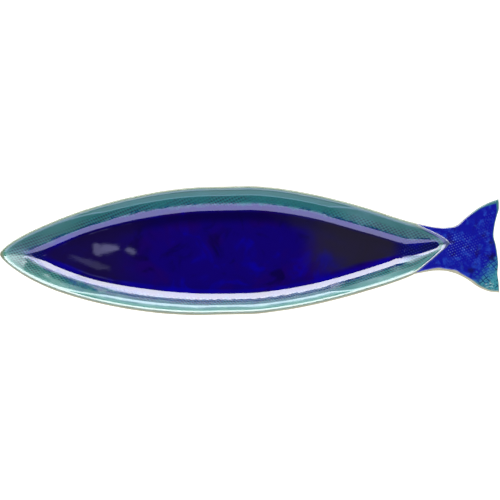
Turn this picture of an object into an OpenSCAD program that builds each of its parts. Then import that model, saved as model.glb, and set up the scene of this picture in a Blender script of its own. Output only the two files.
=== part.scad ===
// Fish shaped stoneware platter: a boat shaped dish, pointed at both ends, whose tail point is
// held in the fork of a flat fin. Glazed in turquoise and cobalt over a pale clay. The nose points
// to -X, the fish's back to +Y, and the origin is on the table under the middle of the platter.

/* [Overall] */
// Length of the dish, from the nose to its tail point
dish_l = 389; // [360:1:420]
// Width across the widest part of the rim
width = 111; // [102:1:124]
// Height from the table to the top of the rim
height = 24; // [22:0.5:30]

/* [Clay] */
// Thickness of the clay floor and wall
clay_t = 5.5; // [4.5:0.1:6.5]
// Width of the flat top of the rim, up to where it turns down into the well
rim_w = 4; // [3.5:0.1:5]
// Height of the upright outer edge of the rim, and thickness of the fin that butts against it
edge_h = 4.5; // [3.5:0.1:5]
// Size of the rounding of the rim and of the fin's edges
edge_r = 1.2; // [0.8:0.1:1.5]

/* [Well] */
// Distance from the flat of the rim to the flat of the floor, measured in plan
wall_run = 18; // [17.5:0.5:20]
// Radius where the rim turns down into the wall
shoulder_r = 4; // [2.5:0.5:5]
// Radius where the wall turns into the floor
cove_r = 13; // [10:0.5:14]
// Radius that rounds the lines of the well at its two pointed ends
tip_r = 5; // [4:0.5:7]

/* [Foot] */
// Height of the foot ring
foot_h = 3.5; // [2.5:0.5:4.5]
// Width of the foot ring's bearing face
foot_w = 6; // [4:0.5:8]
// Distance from the bend of the base to the foot ring
foot_gap = 4; // [3:0.5:6]

/* [Tail] */
// Length of the tail point that the fork of the fin holds
fork_l = 32; // [28:1:36]
// Distance from the dish's tail point to the end of the fin
fin_l = 41; // [36:1:46]
// Width of the fin's narrow stretch behind the fork
wrist_w = 37; // [34:0.5:39]
// Width across the tips of the fin
fin_w = 81; // [72:1:90]
// Depth of the hollow in the fin's trailing edge
notch_d = 5; // [3:0.5:8]
// How far the tips of the fin rise above its root
fin_rise = 0.7; // [0.2:0.1:1]

/* [Glaze] */
// Thickness of the glaze on the wall and the fin
glaze_t = 0.5; // [0.4:0.05:0.7]
// Thickness of the glaze that pooled on the floor of the well
pool_t = 1.2; // [1:0.1:1.6]
// Thickness of the glaze on the underside
under_t = 0.4; // [0.3:0.05:0.5]
// Width of bare clay left beside the outline and beside the foot ring
bare_w = 1.8; // [1.5:0.1:2.2]

/* [Hidden] */

// Points round the dish, lines across the fin, steps in each arc of the section, and halvings
// in the search for the end of a contour
ring_n = 96;
fin_n = 12;
arc_n = 4;
seek_n = 24;

half_w = width / 2;
nose_x = -(dish_l + fin_l) / 2;
point_x = nose_x + dish_l;
fork_x = point_x - fork_l;
end_x = point_x + fin_l;

// Plan of the dish. It is widest between two places, given as shares of the way from the nose
// to the fork, and it bends in by these powers ahead of them, behind them and at the tail point
wide_start_share = 0.497;
wide_end_share = 0.599;
fork_width_share = 0.397;
nose_powers = [1.77, 0.718];
taper_power = 1.576;
point_power = 0.88;
wide_start_x = nose_x + wide_start_share * (fork_x - nose_x);
wide_end_x = nose_x + wide_end_share * (fork_x - nose_x);

// Bend of the centre line at each tenth of the dish's length, as shares of the half width: the
// nose droops towards the belly and the tail point lifts towards the back
centre_shares = [-0.064, -0.081, -0.063, -0.04, -0.017, 0, 0.012, 0.015, 0.016, 0.018, 0.09];

// Section of the dish: the inside is a shoulder arc, a straight slope and a cove arc, and the
// outside follows it at the clay's thickness. The glaze on the rim is the highest part
rim_z = height - glaze_t;
ridge_z = rim_z - edge_r;
edge_z = ridge_z - edge_h;
lip_z = edge_z - edge_r;
floor_z = foot_h + clay_t;
floor_n = rim_w + wall_run;
arc_gap = rim_z - floor_z - shoulder_r - cove_r;
slope_l = sqrt(pow(wall_run, 2) + pow(arc_gap, 2) - pow(shoulder_r + cove_r, 2));
slope_a = atan2(arc_gap, wall_run) + atan2(shoulder_r + cove_r, slope_l);

// The innermost contour, as a share of the half width: the floor is closed straight across it
middle_share = 0.8;
middle_n = middle_share * half_w;
foot_n = floor_n + foot_gap;

// Where the two glazes meet, in steps of the inside of the section from the floor's middle
meet_step = 2;

// Sides of the fin at each eighth of the way from the fork to its end, as shares of the way
// from the wrist's half width to the tip, then the share of each width that lies on the back
back_side_shares = [0.085, 0.016, 0, 0.077, 0.384, 0.664, 0.866, 1];
front_side_shares = [0.093, 0.02, 0.036, 0.16, 0.4, 0.73, 0.943, 1];
wrist_back_share = 0.535;
fin_back_share = 0.55;
// Trailing edge from the back tip to the front tip, as shares of the depth of its hollow
notch_shares = [0.3, 0, 0.46, 0.84, 1, 0.64, 0.42, 0.3, 0.46, 0.3, 0.25];
// Extra lines that round the fin's edges, as shares of the fin, and how far each line lies
// below the fin's top from the outline inwards, as shares of the rounding
edge_shares = [0.015, 0.035];
drop_shares = [1, 0.3, 0];
// The rounding grows to its full size over this share of the fin, behind the fork
grow_share = 0.15;
// Where the turquoise of the two tips starts, as shares along the fin and across it
front_tip_shares = [0.74, 0.67];
back_tip_shares = [0.8, 0.17];

// The smooth curve through a list of numbers or points, t from 0 at the first to 1 at the last
function curve(p, t) =
    let (last = len(p) - 1,
         k = min(last - 1, floor(t * last)),
         f = t * last - k,
         a = p[max(0, k - 1)],
         b = p[k],
         c = p[k + 1],
         d = p[min(last, k + 2)])
    b + f / 2 * (c - a + f * (2 * a - 5 * b + 4 * c - d + f * (3 * b - 3 * c + d - a)));

function dish_half(x) =
    x <= nose_x || x >= point_x ? 0
    : x < wide_start_x
        ? half_w * pow(1 - pow((wide_start_x - x) / (wide_start_x - nose_x), nose_powers[0]),
                       nose_powers[1])
    : x < wide_end_x ? half_w
    : x < fork_x
        ? half_w * (1 - (1 - fork_width_share)
                        * pow((x - wide_end_x) / (fork_x - wide_end_x), taper_power))
    : half_w * fork_width_share * pow((point_x - x) / fork_l, point_power);

function centre_y(x) = half_w * curve(centre_shares, (x - nose_x) / dish_l);

// Half width at x of the contour that lies n inside the outline, rounded at its ends
function inner_half(x, n) =
    let (reach = sqrt(pow(dish_half(x), 2) + pow(tip_r, 2)) - n)
    reach > tip_r ? sqrt(pow(reach, 2) - pow(tip_r, 2)) : 0;

// The x between a narrow and a wide place where the dish's half width first reaches need
function seek(need, narrow, wide, left) =
    let (middle = (narrow + wide) / 2)
    left == 0 ? narrow
    : dish_half(middle) < need ? seek(need, middle, wide, left - 1)
    : seek(need, narrow, middle, left - 1);

// A closed contour n inside the outline: from the nose along the back to the tail point, and
// along the front to the nose again
function contour(n) =
    let (need = sqrt(pow(tip_r + n, 2) - pow(tip_r, 2)),
         x0 = seek(need, nose_x, wide_start_x, seek_n),
         x1 = seek(need, point_x, wide_end_x, seek_n))
    [for (i = [0 : ring_n - 1])
        let (a = 360 * i / ring_n,
             x = (x0 + x1) / 2 - (x1 - x0) / 2 * cos(a))
        [x, centre_y(x) + (a < 180 ? 1 : -1) * inner_half(x, n)]];

// A section is a list of [distance inside the outline, z]; each of its points makes a loop
function loops(section) = [for (s = section) [for (p = contour(s[0])) [p[0], p[1], s[1]]]];

function backwards(list) = [for (k = [len(list) - 1 : -1 : 0]) list[k]];
function part_of(list, first, last) = [for (k = [first : last]) list[k]];

// The section of a coat's face, thick[k] off each point, on the open side of the clay
function coat(section, thick) =
    [for (k = [0 : len(section) - 1])
        let (a = section[max(0, k - 1)],
             b = section[min(len(section) - 1, k + 1)],
             run = (b - a) / norm(b - a))
        section[k] + thick[k] * [run[1], -run[0]]];

// An arc of the section round [n, z], from angle 0 to the slope's
function bend(n, z, r) = [for (k = [0 : arc_n])
    [n + r * sin(slope_a * k / arc_n), z + r * cos(slope_a * k / arc_n)]];

// The inside runs from the middle of the floor out and up to the rim, and the outside from
// under the rim down and in to the middle of the base
cove = bend(floor_n, floor_z + cove_r, -cove_r);
shoulder = bend(rim_w, rim_z - shoulder_r, shoulder_r);
inside = concat([[middle_n, floor_z]], cove, backwards(shoulder), [[bare_w, rim_z]]);
hull = backwards(bend(floor_n, floor_z + cove_r, -cove_r - clay_t));
lip = [hull[0][0] - (lip_z - hull[0][1]) / tan(slope_a), lip_z];
outside = concat([lip], hull, [[foot_n - bare_w, foot_h]]);
round_mid = edge_r * (1 - sin(45));
rim = [[edge_r, rim_z], [round_mid, rim_z - round_mid], [0, ridge_z], [0, edge_z]];

top_step = len(inside) - 1;
meet_t = (pool_t + glaze_t) / 2;
inside_t = [for (k = [0 : top_step]) k < meet_step ? pool_t : k == meet_step ? meet_t : glaze_t];
glaze_face = coat(inside, inside_t);

// A closed solid through a list of loops. An open one is closed across its first and last loop,
// and a band joins its last loop to its first. Clay has its first loop on top, a glaze beneath
module skin(rings, band = false, clay = false) {
    m = len(rings);
    n = len(rings[0]);
    function at(k, i) = (k % m) * n + i % n;
    function closing(k) = [for (i = [0 : n / 2 - 1]) each concat(
        i == 0 ? [] : [[at(k, i), at(k, n - i), at(k, i + 1)]],
        i == n / 2 - 1 ? [] : [[at(k, i + 1), at(k, n - i), at(k, n - i - 1)]])];
    sides = [for (k = [0 : band ? m - 1 : m - 2], i = [0 : n - 1]) each
        [[at(k, i), at(k, i + 1), at(k + 1, i + 1)], [at(k, i), at(k + 1, i + 1), at(k + 1, i)]]];
    ends = band ? [] : concat(closing(0), [for (f = closing(m - 1)) backwards(f)]);
    faces = concat(sides, ends);
    polyhedron([for (r = rings) each r], clay ? [for (f = faces) backwards(f)] : faces);
}

// The fin's root is the stretch of the rim's outline behind the fork
outline = contour(0);
fork_n = round(ring_n * acos(1 - 2 * fork_l / dish_l) / 360);
root = part_of(outline, ring_n / 2 - fork_n, ring_n / 2 + fork_n);
root_n = 2 * fork_n;

// Places of the fin's lines across it and along it
across = concat([0], edge_shares, [for (j = [1 : root_n - 1]) j / root_n],
                [for (e = backwards(edge_shares)) 1 - e], [1]);
along = concat([for (k = [0 : fin_n - 1]) k / fin_n],
               [for (e = backwards(edge_shares)) 1 - e], [1]);

// The corners of the fin, and its two sides from the fork to them
back_tip = [end_x - notch_d * notch_shares[0], fin_w * fin_back_share];
front_tip = [end_x - notch_d * notch_shares[len(notch_shares) - 1],
             -fin_w * (1 - fin_back_share)];
function fin_side(start, shares, wrist_y, tip) =
    concat([start], [for (k = [0 : len(shares) - 1])
        [start[0] + (tip[0] - start[0]) * (k + 1) / len(shares),
         wrist_y + shares[k] * (tip[1] - wrist_y)]]);
back_side = fin_side(root[0], back_side_shares, wrist_w * wrist_back_share, back_tip);
front_side = fin_side(root[root_n], front_side_shares, -wrist_w * (1 - wrist_back_share),
                      front_tip);

function fin_root(v) =
    let (k = min(root_n - 1, floor(v * root_n)),
         f = v * root_n - k)
    root[k] * (1 - f) + root[k + 1] * f;

function fin_end(v) =
    [end_x - notch_d * curve(notch_shares, v), back_tip[1] + v * (front_tip[1] - back_tip[1])];

// The fin's plan, blended from its four sides: u runs along it and v from back to front
function fin_plan(u, v) =
    (1 - u) * fin_root(v) + u * fin_end(v)
    + (1 - v) * (curve(back_side, u) - (1 - u) * root[0] - u * back_tip)
    + v * (curve(front_side, u) - (1 - u) * root[root_n] - u * front_tip);

// How far the surface at a crossing of the fin's lines lies inside the full thickness
function rounding(i, j) =
    let (k = min(j, len(across) - 1 - j, len(along) - 1 - i))
    k < len(drop_shares) ? edge_r * drop_shares[k] * min(1, along[i] / grow_share) : 0;

// A face of the fin at height z at its root; side is 1 on top and -1 beneath
function fin_face(z, side) =
    [for (i = [0 : len(along) - 1]) [for (j = [0 : len(across) - 1])
        let (p = fin_plan(along[i], across[j]),
             rise = fin_rise * pow(along[i] * (2 * across[j] - 1), 2))
        [p[0], p[1], z + rise - side * rounding(i, j)]]];

function raised(face, t) = [for (line = face) [for (p = line) p + [0, 0, t]]];

fin_top = fin_face(ridge_z, 1);
fin_base = fin_face(edge_z, -1);

// Which cells of the fin's lines a glaze covers: all but the bare edge, and the two tips
all_cells = [for (i = [1 : len(along) - 1]) [for (j = [1 : len(across) - 1]) true]];
glazed_cells = [for (i = [0 : len(along) - 2]) [for (j = [0 : len(across) - 2])
    i < len(along) - 2 && j > 0 && j < len(across) - 2]];
function in_tip(i, j) =
    along[i] > front_tip_shares[0] && across[j] > front_tip_shares[1]
    || along[i] > back_tip_shares[0] && across[j + 1] < back_tip_shares[1];
tip_cells = [for (i = [0 : len(along) - 2]) [for (j = [0 : len(across) - 2])
    glazed_cells[i][j] && in_tip(i, j)]];
tail_cells = [for (i = [0 : len(along) - 2]) [for (j = [0 : len(across) - 2])
    glazed_cells[i][j] && !in_tip(i, j)]];

// A closed solid between two faces of the fin, over the cells that are true
module slab(low, high, cells) {
    m = len(low);
    n = len(low[0]);
    function at(h, p) = (h * m + p[0]) * n + p[1];
    function on(i, j) = i >= 0 && j >= 0 && i < m - 1 && j < n - 1 && cells[i][j];
    function wall(there, p, q) = there ? [] : [[at(1, q), at(1, p), at(0, p), at(0, q)]];
    faces = [for (i = [0 : m - 2], j = [0 : n - 2])
        let (a = [i, j], b = [i + 1, j], c = [i + 1, j + 1], d = [i, j + 1])
        each !cells[i][j] ? [] : concat(
            [[at(1, a), at(1, b), at(1, c)], [at(1, a), at(1, c), at(1, d)],
             [at(0, a), at(0, c), at(0, b)], [at(0, a), at(0, d), at(0, c)]],
            wall(on(i, j - 1), a, b), wall(on(i + 1, j), b, c),
            wall(on(i, j + 1), c, d), wall(on(i - 1, j), d, a))];
    polyhedron(concat([for (line = low) each line], [for (line = high) each line]), faces);
}

// Clay shell of the dish, with the rim that runs unbroken round both its points
module dish_body() {
    color("wheat")
        skin(loops(concat(inside, rim, outside, [[middle_n, foot_h]])), clay = true);
}

// Flat clay fin, its fork fitted round the tail point of the dish
module tail_fin() {
    color("tan") slab(fin_base, fin_top, all_cells);
}

// Bare clay ring that the platter stands on
module foot_ring() {
    color("burlywood")
        linear_extrude(foot_h)
            difference() {
                polygon(contour(foot_n));
                polygon(contour(foot_n + foot_w));
            }
}

// Cobalt glaze pooled on the floor of the well
module well_glaze() {
    color("midnightblue")
        skin(loops(concat(part_of(inside, 0, meet_step),
                          backwards(part_of(glaze_face, 0, meet_step)))));
}

// Turquoise glaze from the rim down to the edge of the pool
module wall_glaze() {
    color("cadetblue")
        skin(loops(concat(part_of(inside, meet_step, top_step),
                          backwards(part_of(glaze_face, meet_step, top_step)))), band = true);
}

// Cobalt glaze on top of the fin
module tail_glaze() {
    color("mediumblue") slab(fin_top, raised(fin_top, glaze_t), tail_cells);
}

// Turquoise glaze on the two tips of the fin
module fin_tip_glaze() {
    color("lightseagreen") slab(fin_top, raised(fin_top, glaze_t), tip_cells);
}

// Pale glaze under the dish and under the fin
module underside_glaze() {
    under_face = coat(outside, [for (p = outside) under_t]);
    color("oldlace") {
        skin(loops(concat(outside, backwards(under_face))), band = true);
        slab(raised(fin_base, -under_t), fin_base, glazed_cells);
    }
}

dish_body();
tail_fin();
foot_ring();
well_glaze();
wall_glaze();
tail_glaze();
fin_tip_glaze();
underside_glaze();
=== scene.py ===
import math
from functools import partial

import bmesh
import bpy
import numpy as np
from mathutils import Matrix, Vector, noise


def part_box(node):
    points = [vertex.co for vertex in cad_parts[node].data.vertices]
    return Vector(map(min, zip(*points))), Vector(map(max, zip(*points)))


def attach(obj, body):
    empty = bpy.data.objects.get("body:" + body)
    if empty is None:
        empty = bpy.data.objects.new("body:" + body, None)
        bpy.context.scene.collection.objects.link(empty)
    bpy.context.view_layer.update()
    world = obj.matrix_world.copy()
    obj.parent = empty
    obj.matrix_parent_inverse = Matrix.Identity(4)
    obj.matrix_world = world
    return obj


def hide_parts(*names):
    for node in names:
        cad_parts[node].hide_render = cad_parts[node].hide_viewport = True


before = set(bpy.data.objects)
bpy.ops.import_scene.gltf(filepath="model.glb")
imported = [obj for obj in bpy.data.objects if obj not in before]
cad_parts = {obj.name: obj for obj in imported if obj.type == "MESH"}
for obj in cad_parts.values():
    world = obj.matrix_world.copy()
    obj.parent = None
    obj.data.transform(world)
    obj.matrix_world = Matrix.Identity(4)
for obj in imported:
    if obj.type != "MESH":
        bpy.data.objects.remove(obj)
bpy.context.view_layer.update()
mm = 0.001


# Plan of the dish, in millimetres and shares. The nose, the tail point and the end of the fin
# come from the frame; the bend is the centre line at each tenth of the dish's length

dishPlan = {
    "halfWidth": 55.5,
    "forkLength": 32,
    "forkWidthShare": 0.397,
    "wideStartShare": 0.497,
    "wideEndShare": 0.599,
    "nosePowers": (1.77, 0.718),
    "taperPower": 1.576,
    "pointPower": 0.88,
    "tipRound": 5,
    "bendShares": (-0.064, -0.081, -0.063, -0.04, -0.017, 0, 0.012, 0.015, 0.016, 0.018, 0.11),
    "ringSteps": 1440,       # points round the dish
    "tableStep": 0.25,       # spacing of the contours that are worked out
}
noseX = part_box("dish_body")[0].x / mm
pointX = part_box("dish_body")[1].x / mm
forkX = pointX - dishPlan["forkLength"]
wideStartX = noseX + dishPlan["wideStartShare"] * (forkX - noseX)
wideEndX = noseX + dishPlan["wideEndShare"] * (forkX - noseX)
tipRound = dishPlan["tipRound"]
ringSteps = dishPlan["ringSteps"]
middleInset = math.hypot(dishPlan["halfWidth"], tipRound) - tipRound


def smoothCurve(points, t):
    # Catmull-Rom curve through numbers or points, t from 0 to 1
    points = np.asarray(points, float)
    last = len(points) - 1
    k = np.minimum(last - 1, np.floor(t * last).astype(int))
    f = t * last - k
    if points.ndim > 1:
        f = f[..., None]
    a, b = points[np.maximum(0, k - 1)], points[k]
    c, d = points[k + 1], points[np.minimum(last, k + 2)]
    return b + f / 2 * (c - a + f * (2 * a - 5 * b + 4 * c - d + f * (3 * b - 3 * c + d - a)))


def dishHalf(x):
    ahead = np.clip((wideStartX - x) / (wideStartX - noseX), 0, 1)
    behind = np.clip((x - wideEndX) / (forkX - wideEndX), 0, 1)
    left = np.clip((pointX - x) / dishPlan["forkLength"], 0, 1)
    share = dishPlan["forkWidthShare"]
    nose = (1 - ahead ** dishPlan["nosePowers"][0]) ** dishPlan["nosePowers"][1]
    body = nose * (1 - (1 - share) * behind ** dishPlan["taperPower"])
    return dishPlan["halfWidth"] * np.where(x > forkX, share * left ** dishPlan["pointPower"], body)


def centreY(x):
    t = np.clip((x - noseX) / (pointX - noseX), 0, 1)
    return dishPlan["halfWidth"] * smoothCurve(dishPlan["bendShares"], t)


def insetHalf(x, inset):
    reach = np.maximum(np.hypot(dishHalf(x), tipRound) - inset, tipRound)
    return np.sqrt(reach ** 2 - tipRound ** 2)


def contourEnds(inset):
    # where the contour at this inset starts and stops, by halving
    need = math.sqrt((tipRound + inset) ** 2 - tipRound ** 2)
    ends = []
    for narrow, wide in ((noseX, wideStartX), (pointX, wideEndX)):
        for turn in range(40):
            middle = (narrow + wide) / 2
            if dishHalf(np.array(middle)) < need:
                narrow = middle
            else:
                wide = middle
        ends.append(narrow)
    return ends


def contourTable():
    # plan points of every contour, evenly spaced along its back side and its front side
    half = ringSteps // 2
    insets = np.append(np.arange(0, middleInset, dishPlan["tableStep"]), middleInset)
    table = np.zeros((len(insets), ringSteps + 1, 2))
    for row, inset in enumerate(insets):
        x0, x1 = contourEnds(inset)
        x = (x0 + x1) / 2 - (x1 - x0) / 2 * np.cos(np.linspace(0, math.pi, 1600))
        for side in (1, -1):
            y = centreY(x) + side * insetHalf(x, inset)
            run = np.append(0, np.cumsum(np.hypot(np.diff(x), np.diff(y))))
            even = np.linspace(0, run[-1], half + 1)
            found = np.stack([np.interp(even, run, x), np.interp(even, run, y)], axis=1)
            if side == 1:
                table[row, :half + 1] = found
            else:
                table[row, half:] = found[::-1]
    return table


contours = contourTable()


def onPlan(inset, step):
    # plan point at an inset and a step round the dish
    rows = len(contours) - 1
    place = np.clip(inset / dishPlan["tableStep"], 0, rows)
    low = np.minimum(np.floor(place).astype(int), rows - 1)
    top = np.where(low == rows - 1, middleInset / dishPlan["tableStep"], low + 1)
    f = np.clip((place - low) / (top - low), 0, 1)[..., None]
    step = step % ringSteps
    return contours[low, step] * (1 - f) + contours[low + 1, step] * f


def noiseAt(points, size, seed):
    # smooth noise from -1 to 1 with lumps of that size
    return np.array([noise.noise(Vector((p[0] / size, p[1] / size, seed))) for p in points])


def fade(low, high, value):
    t = np.clip((value - low) / (high - low), 0, 1)
    return t * t * (3 - 2 * t)


print("plan of the dish ready")


# Heights and unevenness that clay and glaze share, in millimetres

heights = {
    "foot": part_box("foot_ring")[1].z / mm,
    "rimTop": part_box("wall_glaze")[1].z / mm,
    "pool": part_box("well_glaze")[1].z / mm,
    "glaze": 0.45,
    "seat": 0.05,            # hair's breadth between clay and glaze
    "floorInset": 22,
}

unevenness = {
    "rimLift": 0.14,         # slow rise and fall of the rim
    "wallWave": 0.26,        # waves of the walls
    "frontShoulder": 0.15,   # the front wall leans over more gently above its steep part
    "poolWave": 0.03,        # swell of the pooled glaze
    "poolRipple": 0.006,
    "weave": 0.055,          # cloth pattern pressed in the clay
    "weavePitch": 2.15,
    "weaveAngles": (-50, 20),
}


def weaveAt(points):
    # raised where the threads of the two directions cross
    total = 0
    for angle in unevenness["weaveAngles"]:
        a = math.radians(angle)
        u = points[:, 0] * math.sin(a) - points[:, 1] * math.cos(a)
        total = total + np.sin(2 * math.pi * u / unevenness["weavePitch"]) / 2
    return total


def weaveShows(points, inset):
    # the pooled glaze hides the weave, and the rim was smoothed by hand
    wall = fade(7.5, 10, inset) * (1 - fade(13, 17, inset))
    patches = 0.2 + 0.7 * fade(-0.3, 0.3, noiseAt(points, 26, 11.3))
    wall = wall * np.maximum(patches, fade(60, 110, points[:, 0]))
    atTail = fade(5, 8, inset) * fade(118, 146, points[:, 0])
    atHead = fade(4, 7, inset) * fade(172, 186, -points[:, 0])
    return np.maximum(wall, np.maximum(atTail, atHead))


def sideOf(points):
    # 1 on the back wall, 0 on the front wall
    x, y = points[:, 0], points[:, 1]
    return fade(-0.3, 0.3, (y - centreY(x)) / np.maximum(dishHalf(x), 0.5))


def noiseRound(step, size, seed):
    # noise that closes on itself round the dish
    a = step / ringSteps * 2 * math.pi
    return noiseAt(np.stack([np.cos(a) * 60, np.sin(a) * 60], axis=1), size, seed)


def rimLift(points):
    return unevenness["rimLift"] * (noiseAt(points, 55, 3.1) - 0.6)


stretch = {
    "from": 3,               # the rim keeps its width
    "back": (1.25, 1.05, 1.09, 1.03, 1, 1, 1, 1, 0.96, 1.1, 1.2),
    "front": (1, 0.86, 0.93, 0.91, 0.94, 1, 1, 1, 0.96, 0.94, 0.95),
    "fadeFrom": 24,
    "fadeTo": 46,
    "tailReach": 18.7,       # this much of the section is drawn together at the tail
    "tailStart": (104, 128),
    "tailLevel": 1.04,       # how much of its depth it keeps there
    "tailMost": 6,           # and how many times narrower it gets at most
    "ridgeDrop": 0.9,        # the fork's ridge is broader and slopes inwards
    "ridgeStart": (124, 150),
    "ridgeTop": 0.9,
    "ridgeRun": 2.4,
    "shoulder": (5.8, 9.3),  # on the back wall the shoulder between these is sharper
    "shoulderRun": 0.8,
    "sharpness": 0.3,
    "evenInset": 14.6,       # at head and tail the shelf narrows away above an even slope down to here
    "corner": (8.1, 3.5),    # inset where the shelf ends, in the middle of the dish and at its ends
    "cornerSharpness": 0.35,
    "evenHead": (112, 168),
    "evenTail": (62, 96),
}


def atEnds(x):
    # 0 along the middle of the dish, 1 where the shelf has narrowed away
    return np.maximum(fade(*stretch["evenHead"], -x), fade(*stretch["evenTail"], x))


def weaveDepth(points, inset):
    # the cloth is hardly felt under the glaze at the nose and behind the fork
    x = points[:, 0]
    flat = np.maximum(fade(120, 150, -x), fade(96, 124, x)) * fade(2, 4, inset)
    return weaveShows(points, inset) * (1 - 0.92 * flat)


def shoulderFall(points, inset):
    low = np.clip((inset - 5.2) / 3.2, 0, 1) * (1 - fade(9, 12.5, inset))
    return -unevenness["frontShoulder"] * low * (1 - sideOf(points)) * (1 - atEnds(points[:, 0]))


def reliefAt(points, inset):
    rim = 1 - fade(6, 12, inset)
    pool = fade(14, 20, inset)
    wall = fade(4.5, 8, inset) * (1 - fade(10.5, 17.5, inset))
    waves = 0.7 * noiseAt(points, 17, 7.7) + 0.6 * noiseAt(points, 6.5, 1.3)
    swell = noiseAt(points, 24, 5.2)
    ripple = noiseAt(points, 7, 9.4)
    lift = rimLift(points) * rim
    lift += unevenness["wallWave"] * wall * waves + shoulderFall(points, inset)
    lift += pool * (unevenness["poolWave"] * swell + unevenness["poolRipple"] * ripple)
    return lift + unevenness["weave"] * weaveDepth(points, inset) * weaveAt(points)


def pinchAt(points):
    # how much narrower the wall is than in the middle of the dish, on each side of the crease
    t = np.clip((points[:, 0] - noseX) / (pointX - noseX), 0, 1)
    back, front = smoothCurve(stretch["back"], t), smoothCurve(stretch["front"], t)
    return front + (back - front) * sideOf(points)


def spreadInset(inset, step):
    # distance from the outline where a line of the section really lies
    start = stretch["from"]
    shift = np.maximum(inset - start, 0) * (1 / pinchAt(onPlan(inset, step)) - 1)
    return inset + shift * (1 - fade(stretch["fadeFrom"], stretch["fadeTo"], inset))


def blunt(a, b, width):
    # the lower of two slopes, rounded where they meet
    return -width * np.logaddexp(-a / width, -b / width)


def settle(points, truly, inset, profile):
    # shapes the walls along the dish: a sharper shoulder at the back, even slopes at head and
    # tail, and towards the tail a section that shrinks into a valley climbing to the fork
    g, x = stretch, points[:, 0]
    start = g["from"]
    pinch = pinchAt(points)
    room = np.maximum(np.hypot(dishHalf(x), tipRound) - tipRound - start, 0.1)
    squeeze = np.maximum(np.minimum(g["tailReach"] / room, g["tailMost"]), pinch)
    squeeze = pinch + (squeeze - pinch) * fade(*g["tailStart"], x)
    tight = (squeeze > pinch * 1.0001) & (truly > start)
    section = np.where(tight, start + (truly - start) * squeeze, inset)
    z = np.interp(section, *profile)

    high, low = g["shoulder"]
    shelf, steep = (math.tan(math.radians(insideShape[key])) for key in ("shelfSlope", "steepSlope"))
    upper = np.interp(high, *profile) - (section - high) * shelf
    lower = np.interp(low, *profile) - (section - low) * steep
    sharp = blunt(upper, lower, g["sharpness"])
    run = g["shoulderRun"]
    within = fade(high - run, high, section) * (1 - fade(low, low + run, section))
    z = z + (sharp - z) * within * sideOf(points)

    startZ, evenZ = np.interp((start, g["evenInset"]), *profile)
    ends = atEnds(x)
    middleCorner, endCorner = g["corner"]
    corner = middleCorner + (endCorner - middleCorner) * ends
    shelfZ = startZ - (section - start) * shelf
    slope = (startZ - (corner - start) * shelf - evenZ) / (g["evenInset"] - corner)
    slopeZ = evenZ + (g["evenInset"] - section) * slope
    even = blunt(shelfZ, slopeZ, g["cornerSharpness"])
    wall = fade(start, start + 1.2, section) * (section < g["evenInset"])
    z = z + (even - z) * fade(0, 0.3, ends) * wall

    shallower = np.minimum(g["tailLevel"] * room / g["tailReach"], 1)
    shallower = np.maximum(shallower, 1 / g["tailMost"])
    shallower = 1 + (shallower - 1) * fade(*g["tailStart"], x)
    z = np.where(truly > start, startZ - (startZ - z) * shallower, z)
    ridge = np.clip((truly - g["ridgeTop"]) / g["ridgeRun"], 0, 1) * fade(*g["ridgeStart"], x)
    return section, z - g["ridgeDrop"] * ridge


clayMiddle = ((0, 3, 6, 9, 12, 50), (20, 20, 17, 13, 8.6, 8.6))     # insets and heights within the clay


def isInside(inset, z):
    # tells the inside of the dish from its underside
    return z > np.interp(inset, *clayMiddle)


# Sections are drawn in the XZ plane, at the distance from Z where the spin carries them round

spinRadius = 100


def startSection(inset, z):
    section = bmesh.new()
    pen = section.verts.new((inset - spinRadius, 0, z))
    return section, pen


def drawTo(section, pen, *stops):
    # straight lines, each to an inset and a height, with the spacing of its points
    for inset, z, spacing in stops:
        way = Vector((inset - spinRadius, 0, z)) - pen.co
        steps = max(1, round(way.length / spacing))
        for turn in range(steps):
            pen = bmesh.ops.extrude_vert_indiv(section, verts=[pen])["verts"][0]
            bmesh.ops.translate(section, verts=[pen], vec=way / steps)
    return pen


def picked(geometry, kind):
    return [g for g in geometry if isinstance(g, kind)]


def everything(shape):
    return shape.verts[:] + shape.edges[:] + shape.faces[:]


def openEdges(shape):
    return [e for e in shape.edges if e.is_boundary]


def moveTo(verts, points, z):
    for v, p, height in zip(verts, points, z):
        v.co = (p[0], p[1], height)


def drawArc(section, pen, radius, slopes, spacing):
    # bends from one downward slope to the next, both in degrees; a negative radius is hollow
    a, b = (math.radians(s) for s in slopes)
    centre = pen.co - radius * Vector((math.sin(a), 0, math.cos(a)))
    steps = max(2, round(abs(radius * (b - a)) / spacing))
    made = bmesh.ops.spin(section, geom=[pen], cent=centre, axis=(0, 1, 0), angle=b - a,
                          steps=steps, use_duplicate=False)
    return picked(made["geom_last"], bmesh.types.BMVert)[0]


def spinSection(section):
    # one part of the turn is spun, and its copies double until they close the ring
    doublings = 4
    part = 2 * math.pi / 2 ** doublings
    bmesh.ops.spin(section, geom=everything(section), cent=(0, 0, 0), axis=(0, 0, 1), angle=-part,
                   steps=ringSteps // 2 ** doublings, use_duplicate=False)
    for turn in range(doublings):
        made = bmesh.ops.duplicate(section, geom=everything(section))
        bmesh.ops.rotate(section, verts=picked(made["geom"], bmesh.types.BMVert), cent=(0, 0, 0),
                         matrix=Matrix.Rotation(-part * 2 ** turn, 3, "Z"))
    bmesh.ops.remove_doubles(section, verts=section.verts, dist=0.001)


def ringPlaces(shape):
    # inset and step of each spun vertex, kept in layers because the wrap moves it
    insetLayer = shape.verts.layers.float.new("inset")
    stepLayer = shape.verts.layers.int.new("step")
    for v in shape.verts:
        angle = math.atan2(v.co.y, -v.co.x) % (2 * math.pi)
        v[stepLayer] = round(angle / (2 * math.pi) * ringSteps) % ringSteps
        v[insetLayer] = spinRadius - math.hypot(v.co.x, v.co.y)
    return insetLayer, stepLayer


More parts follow.
